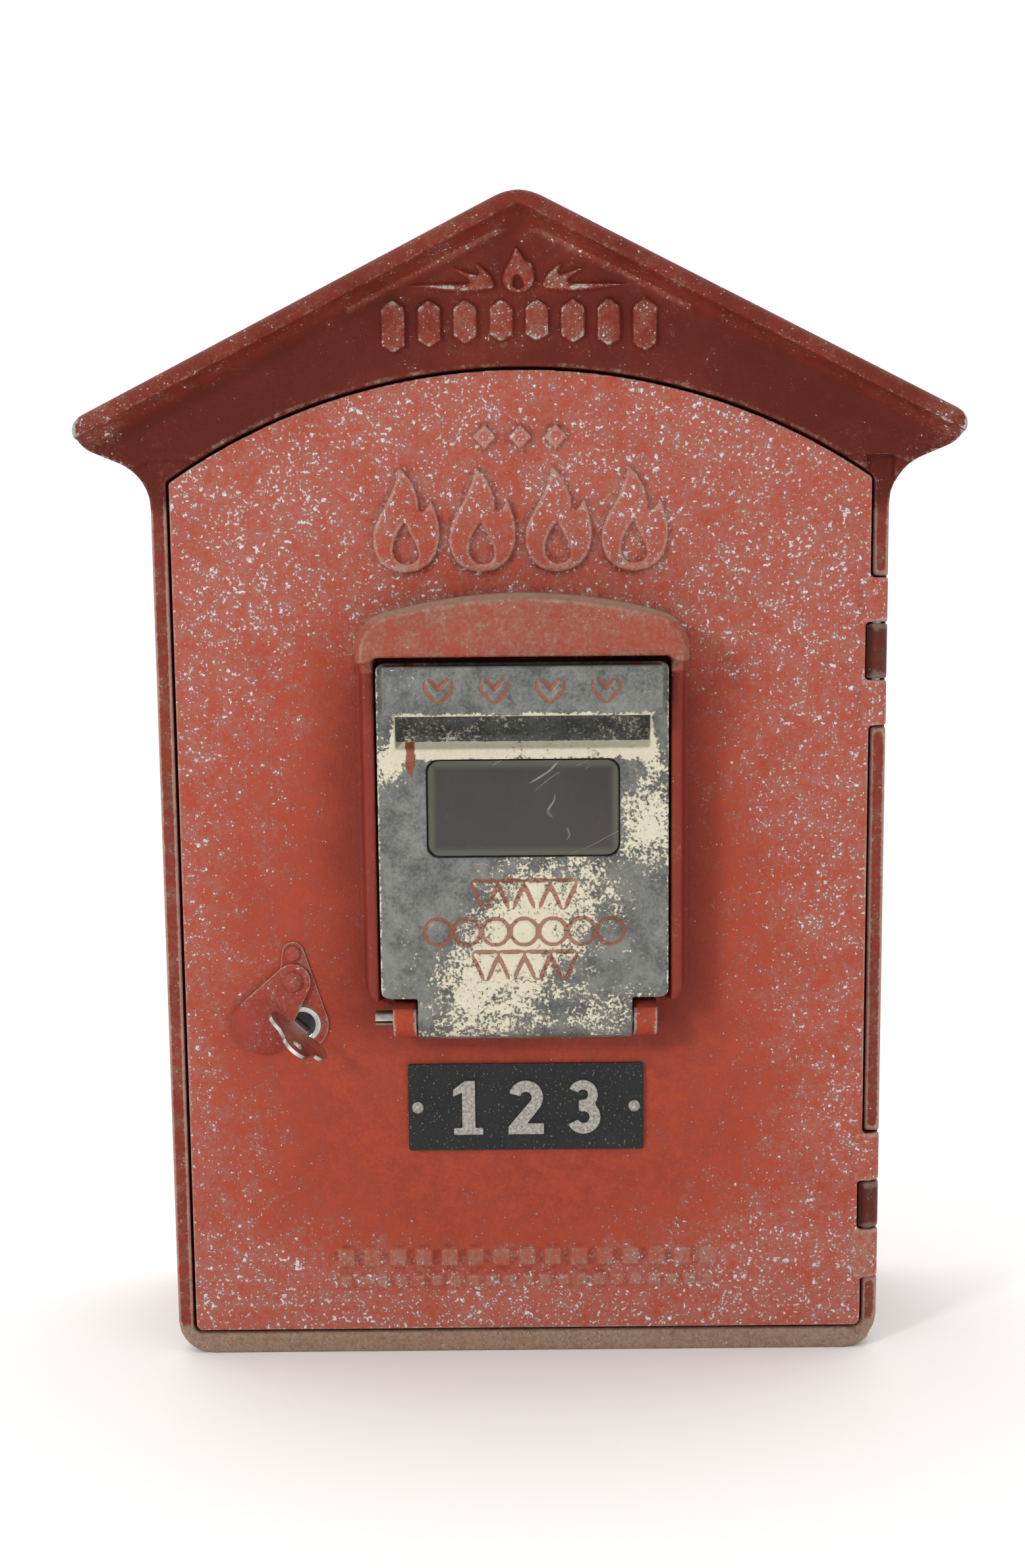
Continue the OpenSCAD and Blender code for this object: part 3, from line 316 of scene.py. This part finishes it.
def flap_paint():
    """Cream paint worn to blue-grey metal, with red residue round the raised marks."""
    f = Finish("flap_paint", Specular_IOR_Level=0.4)
    patch = f.noise(34.0, 6.0, 0.6, distortion=0.2)
    spread = f.noise(190.0, 6.0, 0.7)
    grain = f.noise(820.0, 5.0, 0.75)
    cream = f.blend(f.total((grain, 0.6), (spread, 0.4)), (0.46, 0.40, 0.27), (0.86, 0.81, 0.66))
    worn = f.step(f.total((f.noise(90.0, 6.0, 0.75), 0.6), (grain, 0.4)), 0.36, 0.64)
    metal = f.blend(worn, (0.085, 0.090, 0.088), (0.25, 0.255, 0.235))
    cover = f.total((patch, 0.7), (spread, 0.6), (grain, 1.1), (f.mask("cream"), 1.0))
    kept = f.step(cover, 1.95, 2.03)
    paint = f.blend(kept, metal, cream)
    red = f.blend(grain, (0.15, 0.035, 0.02), (0.36, 0.13, 0.07))
    residue = f.step(f.total((f.mask("hollow"), 1.0), (spread, 1.5), (grain, 0.5)), 1.35, 1.6, 0.0, 0.85)
    paint = f.blend(residue, paint, red)
    runs = f.step(f.total((f.mask("runs"), 1.0), (spread, 1.4), (grain, 0.4)), 1.50, 1.62)
    paint = f.blend(runs, paint, red)
    f.colour(paint)
    f.rough(f.total((kept, 0.15), (grain, 0.12), (0.38, 1.0)))
    f.put(f.shader.inputs["Metallic"], f.step(kept, 0.0, 1.0, 0.35, 0.0))
    f.relief(f.total((kept, 0.6), (grain, 0.3), (patch, 0.4)), 0.0003)
    return f.material


def plate_black():
    f = Finish("plate_black", Roughness=0.45, Specular_IOR_Level=0.2)
    grain = f.noise(1100.0, 3.0, 0.6)
    base = f.blend(f.noise(60.0, 4.0), (0.012, 0.014, 0.014), (0.026, 0.029, 0.028))
    f.colour(f.blend(f.step(grain, 0.62, 0.70), base, (0.22, 0.21, 0.17)))
    f.relief(grain, 0.0002)
    return f.material


def dull_metal(name, dark, light, roughness, scale=220.0):
    """Metal with a tarnish of two tones and a fine brushed relief."""
    f = Finish(name, Metallic=1.0)
    tarnish = f.noise(scale, 6.0, 0.65)
    brush = f.noise(60.0, 3.0, 0.6, stretch=(1.0, 1.0, 30.0))
    f.colour(f.blend(f.step(tarnish, 0.3, 0.7), dark, light))
    f.rough(f.total((tarnish, 0.18), (brush, 0.1), (roughness - 0.12, 1.0)))
    f.relief(f.total((tarnish, 0.4), (brush, 0.6)), 0.00004)
    return f.material


def digit_metal():
    f = Finish("digit_metal", Metallic=0.25, Roughness=0.6)
    grain = f.noise(900.0, 5.0, 0.7)
    f.colour(f.blend(f.step(grain, 0.35, 0.65), (0.22, 0.21, 0.18), (0.52, 0.50, 0.45)))
    f.relief(grain, 0.0003)
    return f.material


def moulded(name, dark, light, roughness, scale=300.0):
    """Moulded plastic, rubber or enamel with a faint mottle."""
    f = Finish(name)
    mottle = f.noise(scale, 5.0, 0.6)
    f.colour(f.blend(mottle, dark, light))
    f.rough(f.total((mottle, 0.15), (roughness - 0.07, 1.0)))
    f.relief(mottle, 0.0001)
    return f.material


def coil_winding():
    """Varnished cotton-covered wire, wound in turns along the coil's own length."""
    f = Finish("coil_winding")
    height = f.add("ShaderNodeSeparateXYZ")
    f.put(height.inputs["Vector"], f.place)
    turns = f.maths("SINE", f.maths("MULTIPLY", height.outputs["Z"], 2 * math.pi / (0.7 * MM)))
    # Dark between turns, light on their crowns: painted shade and painted highlight following the bump.
    f.colour(f.blend(f.step(turns, -1.0, 1.0), (0.09, 0.02, 0.012), (0.30, 0.09, 0.05)))
    f.rough(f.step(turns, -1.0, 1.0, 0.55, 0.35))
    f.relief(turns, 0.0003)
    return f.material


def window_glass():
    """Thick dark glass: a greenish band inside its edge, and a few long bright scratches."""
    f = Finish("window_glass", Transmission_Weight=0.3, IOR=1.5, Specular_IOR_Level=0.5)
    corners = read_points(NODES["flap_window"].data)
    hidden_flange = 4.6 * MM
    place = f.add("ShaderNodeSeparateXYZ")
    f.put(place.inputs["Vector"], f.place)
    inward = 1.0
    border = (0.0010, 0.0035)
    for axis, socket in ((0, "X"), (2, "Z")):
        for edge, sign in ((corners[:, axis].min(), 1.0), (corners[:, axis].max(), -1.0)):
            gap = f.total((place.outputs[socket], sign), (-sign * float(edge) - hidden_flange, 1.0))
            inward = f.maths("MINIMUM", inward, gap)
    haze = f.noise(35.0, 5.0, 0.6)
    scratch = f.noise(15.0, 1.5, 0.5, stretch=(1.0, 0.0, 4.0), turn=0.5, distortion=0.6)
    lines = f.step(f.maths("ABSOLUTE", f.maths("SUBTRACT", scratch, 0.5)), 0.002, 0.006, 1.0, 0.0)
    lines = f.maths("MULTIPLY", lines, f.step(f.noise(45.0, 3.0, 0.6), 0.52, 0.60))
    dark = f.blend(haze, (0.034, 0.029, 0.029), (0.085, 0.074, 0.068))
    dark = f.blend(f.step(inward, *border, 1.0, 0.0), dark, (0.12, 0.123, 0.085))
    f.colour(f.blend(f.maths("MULTIPLY", lines, 0.8), dark, (0.45, 0.44, 0.40)))
    f.rough(f.total((haze, 0.25), (lines, 0.3), (0.10, 1.0)))
    f.relief(f.total((haze, 0.4), (lines, 0.4)), 0.0001)
    return f.material


FINISHES = {
    "red_enamel": trim_paint(),
    "flap_paint": flap_paint(),
    "hook_enamel": moulded("hook_enamel", (0.62, 0.60, 0.54), (0.80, 0.78, 0.72), 0.35),
    "plate_black": plate_black(),
    "digit_metal": digit_metal(),
    "steel": dull_metal("steel", (0.30, 0.29, 0.27), (0.55, 0.54, 0.52), 0.38),
    "spring_steel": dull_metal("spring_steel", (0.14, 0.15, 0.18), (0.30, 0.32, 0.37), 0.32),
    "nickel": dull_metal("nickel", (0.40, 0.38, 0.34), (0.80, 0.79, 0.76), 0.28, 90.0),
    "dark_metal": dull_metal("dark_metal", (0.035, 0.035, 0.035), (0.09, 0.09, 0.09), 0.48),
    "brass": dull_metal("brass", (0.42, 0.27, 0.10), (0.74, 0.53, 0.24), 0.30, 120.0),
    "bell_metal": dull_metal("bell_metal", (0.50, 0.46, 0.38), (0.76, 0.73, 0.66), 0.20, 90.0),
    "insulator": moulded("insulator", (0.025, 0.02, 0.018), (0.06, 0.045, 0.04), 0.40),
    "coil_winding": coil_winding(),
    "seal_rubber": moulded("seal_rubber", (0.02, 0.022, 0.02), (0.05, 0.055, 0.045), 0.75),
    "window_glass": window_glass(),
}


# ---- cast pieces ----------------------------------------------------------------

def link(name, mesh):
    piece = bpy.data.objects.new(name, mesh)
    bpy.context.scene.collection.objects.link(piece)
    return piece


def applied(piece):
    """The piece's mesh with its modifiers applied, and none left on the piece."""
    bpy.context.view_layer.update()
    made = bpy.data.meshes.new_from_object(piece.evaluated_get(bpy.context.evaluated_depsgraph_get()))
    piece.modifiers.clear()
    piece.data = made
    return made


def skinned(node, name, voxel, passes):
    """A copy of a CAD node as one even skin, whose edges are softened as a casting's are."""
    coarse = 1
    piece = link(name, NODES[node].data.copy())
    skin = piece.modifiers.new("skin", "REMESH")
    skin.mode = "VOXEL"
    skin.voxel_size = voxel * coarse
    skin.use_smooth_shade = True
    soften = piece.modifiers.new("soften", "SMOOTH")
    soften.factor = 0.5
    soften.iterations = passes
    mesh = applied(piece)
    mesh.materials.clear()
    return piece


def relaxed(points, pairs, passes):
    """The points once each has moved to the mean of its neighbours, over and over."""
    count = np.bincount(pairs.ravel(), minlength=len(points))
    for _ in range(passes):
        moved = np.empty_like(points)
        for k in range(3):
            there = np.bincount(pairs[:, 0], points[pairs[:, 1], k], len(points))
            back = np.bincount(pairs[:, 1], points[pairs[:, 0], k], len(points))
            moved[:, k] = (there + back) / count
        points = moved
    return points


def bulge(mesh, points, reach):
    """How far each point stands out of its smoothed neighbourhood, in millimetres."""
    pairs = np.empty(len(mesh.edges) * 2, np.int32)
    mesh.edges.foreach_get("vertices", pairs)
    normals = np.empty(len(mesh.vertices) * 3, np.float32)
    mesh.vertex_normals.foreach_get("vector", normals)
    offset = points - relaxed(points, pairs.reshape(-1, 2), reach)
    return np.einsum("ij,ij->i", offset, normals.reshape(-1, 3)) / MM


def ramp(value, low, high):
    t = np.clip((value - low) / (high - low), 0, 1)
    return t * t * (3 - 2 * t)


def set_mask(mesh, name, values):
    layer = mesh.attributes.new(name, "FLOAT", "POINT")
    layer.data.foreach_set("value", np.clip(values, 0, 1).astype(np.float32))


def near_box(points, low, high, reach):
    """1 within the rectangle of X and Z, falling to 0 at reach outside it."""
    dx = np.maximum(np.maximum(low[0] - points[:, 0], points[:, 0] - high[0]), 0)
    dz = np.maximum(np.maximum(low[1] - points[:, 2], points[:, 2] - high[1]), 0)
    return 1 - ramp(np.hypot(dx, dz), 0, reach)


# Depths in front of the wall, in metres. A pair is where a mask starts and where it is full.
DOOR_FACE = (0.109, 0.111)
FOOT_MARKS = (0.1121, 0.1127)
FLAP_BANDS = 0.1135
HOOD = 0.1145
PEDIMENT = 0.1130
PEDIMENT_MARKS = (0.1150, 0.1162)
PEDIMENT_MARKS_TOP = 0.1172
CORNICE = (0.1145, 0.119)
NOSE = (0.117, 0.124)
FLAP_FACE = 0.1315


def split(points):
    """Each point's place across, its depth in front of the wall and its height."""
    return points[:, 0], -points[:, 1], points[:, 2]


def door_masks(points, out):
    """Haze and flakes gather round the door's edges. Beside the hood the paint kept clear of bloom, and it
    is darker there partly for less faded paint and partly as painted shade of the hood.
    """
    low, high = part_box("door")
    hood_low, hood_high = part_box("flap")
    plate = (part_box("number_plate")[0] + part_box("number_plate")[1]) / 2
    x, depth, z = split(points)
    front = ramp(depth, *DOOR_FACE)
    across = (x + 0.010) / (0.95 * high.x)
    up = (z - plate.z) / (0.98 * (high.z - plate.z))
    down = (plate.z - z) / (1.02 * (plate.z - low.z))
    ring = np.hypot(across, np.maximum(up, down))
    beside = near_box(points, (hood_low.x, hood_low.z + 0.01), (hood_high.x, hood_high.z - 0.02), 0.034)
    visor = (depth > HOOD) & (z > hood_high.z - 0.004)
    crown = z[visor & (np.abs(x) < 0.005)].max()
    arch = crown - x ** 2 / 0.38
    # Tan on the visor's arched top edge: partly worn paint, partly a painted highlight of the lit edge.
    brow_wear_and_highlight = visor * ramp(z, arch - 0.005, arch)
    # Beside the hood: less bloom where the hood gave shelter, and darker paint that is partly painted shade.
    sheltered_and_shaded = beside * (depth < HOOD)
    right = ramp(x, 0.03, 0.11)
    above = ramp(z, hood_high.z - 0.02, hood_high.z + 0.03)
    foot = ramp(low.z + 0.045 - z, 0.0, 0.04)
    hollow = ramp(-out, 0.05, 0.16)
    lug_top = hood_low.z + 0.012
    bands = (np.abs(x) < hood_high.x + 0.012) & (depth > FLAP_BANDS) & ~visor
    bands = bands & (z > lug_top) & (z < hood_high.z)
    lugs = (np.abs(x) < 0.06) & (depth > HOOD) & (z < lug_top) & (z > plate.z + 0.018)
    # The groove between the door's edge and the rim, painted near-black as painted shade.
    recess = (1 - front) * ramp(x, 0.120, 0.122)
    foot_marks = ramp(depth, *FOOT_MARKS) * ramp(low.z + 0.04 - z, 0.0, 0.001)
    haze = ramp(ring, 0.35, 1.05) * 0.85 + 0.05 * right + 0.25 * above + 0.45 * foot
    haze = haze * front * (1 - 0.8 * sheltered_and_shaded) * (1 - 0.9 * bands) * (1 - 0.5 * visor)
    # Darker beside the hood and in the relief's hollows as painted shade; darker on the bands and visor too.
    fresh_and_lit = front * (1 - 0.75 * sheltered_and_shaded) * (1 - 0.7 * hollow) * (1 - 0.85 * bands) * (1 - 0.4 * visor)
    wear = ramp(out, 0.04, 0.22) * (0.65 - 0.3 * bands - 0.15 * visor)
    bare = ramp(out, 0.2, 0.5) * 0.5 * (1 - bands) + 0.62 * lugs
    stained = 0.45 * hollow * front * (1 - bands) * (1 - sheltered_and_shaded)
    rust_and_highlight = np.maximum(0.55 * visor + 0.5 * brow_wear_and_highlight, stained) + 0.6 * foot_marks
    return {"haze": haze, "fresh_and_lit": fresh_and_lit, "wear": wear, "bare": bare, "rust_and_highlight": rust_and_highlight, "painted_gap_shade": 0.35 * recess}


def hinge_heights(height):
    """True beside the two hinge pins."""
    pins = read_points(NODES["hinge_pins"].data)[:, 2]
    beside = np.zeros(len(height), bool)
    for pin in (pins[pins < 0], pins[pins > 0]):
        beside |= (height > pin.min() - 0.001) & (height < pin.max() + 0.001)
    return beside


def housing_masks(points, out):
    """The gable's eaves are dark, the case's sides brighter, and the foot of the rim worn brown."""
    low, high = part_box("housing")
    x, depth, z = split(points)
    eaves_low = high.z - 0.105
    below_eaves = ramp(eaves_low - z, 0.0, 0.01)
    gable = 1 - below_eaves
    outside = ramp(np.abs(x), 0.1285, 0.131) * below_eaves
    foot = ramp(low.z + 0.013 - z, 0, 0.006) * ramp(depth, 0.05, 0.108)
    nose = ramp(depth, *NOSE)
    ridge = ramp(out, 0.1, 0.5) * gable
    cornice = ramp(depth, *CORNICE) * gable
    # The slot beside the hinge knuckles, painted near-black as painted shade.
    knuckles = (x > 0.124) & (depth > 0.100) & hinge_heights(z)
    tips = ramp(np.abs(x), 0.135, 0.155) * gable
    relief = ramp(depth, *PEDIMENT_MARKS) * (np.abs(x) < 0.062) * (z < high.z - 0.012)
    relief = relief * (depth < PEDIMENT_MARKS_TOP) * gable
    pediment = np.exp(-(x / 0.07) ** 2) * gable * (depth > PEDIMENT) * (1 - cornice)
    haze = outside * 0.35 + cornice * 0.35 + tips * 0.4 + foot + 0.5 * relief + 0.2 * pediment
    # Pediment near the deep tone, cornice lifted: partly dirtier paint, partly painted shade under the
    # cornice.
    fresh_and_lit = 0.05 + outside * 0.55 + cornice * 0.38 + 0.3 * foot + 0.25 * relief + 0.25 * pediment
    wear = ramp(out, 0.05, 0.35) * (0.5 + 0.3 * outside)
    bare = nose * 0.15 + ridge * (0.65 - 0.2 * relief) + tips * 0.25 + 0.35 * relief
    rust_and_highlight = foot * (0.9 + 0.3 * outside) + 0.42 * outside + 0.15 * tips + 0.35 * relief
    return {"haze": haze, "fresh_and_lit": fresh_and_lit, "wear": wear, "bare": bare, "rust_and_highlight": rust_and_highlight, "painted_gap_shade": 0.55 * knuckles}


def trim_masks(points, out):
    """Small castings have an even bloom, and worn edges."""
    even = np.ones(len(points))
    none = np.zeros(len(points))
    return {"haze": 0.45 * even, "fresh_and_lit": 0.8 * even, "wear": ramp(out, 0.02, 0.15) * 0.8,
            "bare": ramp(out, 0.05, 0.3) * 0.6, "rust_and_highlight": none, "painted_gap_shade": none}


# Where the flap's cream paint lasted or wore away: across, up, reach and strength
FLAP_PATCHES = (
    (0.55, 0.29, 0.23, 0.35),
    (0.93, 0.58, 0.13, 0.36),
    (0.30, 0.13, 0.20, 0.24),
    (0.88, 0.12, 0.08, 0.16),
    (0.74, 0.04, 0.10, 0.20),
    (0.04, 0.74, 0.06, 0.34),
    (0.94, 0.76, 0.05, 0.25),
    (0.05, 0.50, 0.14, -0.10),
    (0.22, 0.43, 0.10, -0.14),
    (0.96, 0.33, 0.08, -0.18),
)

# Red runs at the flap's top corners: their place across, and how far down they reach
FLAP_RUNS = ((-0.041, 0.048), (0.041, 0.036))


def flap_masks(points, out):
    """Cream lasted in patches, above the window and on the rim, and on the front more than behind."""
    low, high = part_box("flap")
    window_low, window_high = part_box("flap_window")
    x, depth, z = split(points)
    across = (x - low.x) / (high.x - low.x)
    up = (z - low.z) / (high.z - low.z)
    grip = (depth > -low.y - 0.0045) & (z > high.z - 0.022)
    front = depth > -(window_low.y + window_high.y) / 2
    brow_low = (low.x + 0.008, window_high.z - 0.002)
    brow_high = (high.x - 0.008, high.z - 0.02)
    cream = 0.10 + 0.48 * near_box(points, brow_low, brow_high, 0.004)
    for place, height, reach, strength in FLAP_PATCHES:
        cream += strength * np.exp(-((across - place) ** 2 + (up - height) ** 2) / reach ** 2)
    rim = near_box(points, (low.x + 0.0010, low.z), (high.x - 0.0010, high.z), 0.0006) < 0.9
    cream = np.maximum(cream, 0.3 * rim) * np.where(front, 1, 0.3) - 0.05 * grip
    runs = np.zeros(len(points))
    for place, drop in FLAP_RUNS:
        strip = np.exp(-((x - place) / 0.0026) ** 2)
        reached = ramp(z, high.z - drop, high.z - drop + 0.012)
        runs = np.maximum(runs, strip * reached * (1 - grip) * front)
    marked = near_box(points, (low.x + 0.012, low.z + 0.01), (high.x - 0.012, high.z - 0.003), 0.001)
    hollow = ramp(-out, 0.01, 0.07) * (depth > FLAP_FACE) * marked
    return {"cream": cream + 0.5, "hollow": hollow, "runs": np.maximum(runs, 0.36 * grip)}


def cast(name, node, voxel, passes, masks, material, reach=6):
    """Replaces a CAD node by its softened skin, with the masks that its paint reads."""
    piece = skinned(node, name, voxel * MM, passes)
    points = read_points(piece.data)
    for mask, values in masks(points, bulge(piece.data, points, reach)).items():
        set_mask(piece.data, mask, values)
    piece.data.materials.append(material)
    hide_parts(node)
    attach(piece, BODY_OF[node])
    return piece


def make_castings():
    cast("housing_casting", "housing", 0.9, 4, housing_masks, housing_paint())
    cast("door_casting", "door", 0.7, 3, door_masks, door_paint())
    cast("flap_casting", "flap", 0.5, 3, flap_masks, FINISHES["flap_paint"])
    trim = FINISHES["red_enamel"]
    cast("escutcheon_casting", "lock_escutcheon", 0.3, 3, trim_masks, trim)
    cast("cover_pressing", "keyhole_cover", 0.25, 4, trim_masks, trim)
    cast("cover_rivet_head", "cover_rivet", 0.2, 2, trim_masks, trim)
    cast("escutcheon_rivet_head", "escutcheon_rivet", 0.2, 3, trim_masks, trim)
    cast("hook_plate_casting", "hook_plate", 0.7, 3, trim_masks, trim)


# ---- CAD nodes that stay ----------------------------------------------------------

def finish_node(node):
    """Eases a kept CAD node's edges and gives it its slot's finish."""
    piece = NODES[node]
    weld = piece.modifiers.new("weld", "WELD")
    weld.merge_threshold = 0.002 * MM
    ease = piece.modifiers.new("ease", "BEVEL")
    ease.width = 0.25 * MM
    ease.segments = 2
    ease.limit_method = "ANGLE"
    ease.angle_limit = math.radians(40)
    even = piece.modifiers.new("even", "WEIGHTED_NORMAL")
    even.keep_sharp = True
    piece.data.materials.clear()
    piece.data.materials.append(FINISHES[SLOT_OF[node]])


def make_coil(name, node, turns, wire):
    """A wound torsion spring in the place of its CAD rings, along X."""
    low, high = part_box(node)
    centre = (low + high) / 2
    radius = (high.z - low.z) / 2 - wire
    length = high.x - low.x - 2 * wire
    steps = 24 * turns
    curve = bpy.data.curves.new(name, "CURVE")
    curve.dimensions = "3D"
    curve.bevel_depth = wire
    curve.bevel_resolution = 4
    curve.use_fill_caps = True
    line = curve.splines.new("POLY")
    line.points.add(steps)
    for i, point in enumerate(line.points):
        turn = 2 * math.pi * turns * i / steps
        along = low.x + wire + length * i / steps
        point.co = (along, centre.y + radius * math.cos(turn), centre.z + radius * math.sin(turn), 1)
    spring = link(name, curve)
    curve.materials.append(FINISHES[SLOT_OF[node]])
    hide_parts(node)
    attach(spring, BODY_OF[node])


def make_springs():
    make_coil("hook_spring_coil", "hook_spring", 3, 0.6 * MM)
    make_coil("flap_spring_coil", "flap_spring", 8, 0.8 * MM)


def main():
    make_camera()
    make_light()
    make_floor()
    make_castings()
    make_springs()
    for node, piece in NODES.items():
        if not piece.hide_render:
            finish_node(node)


main()
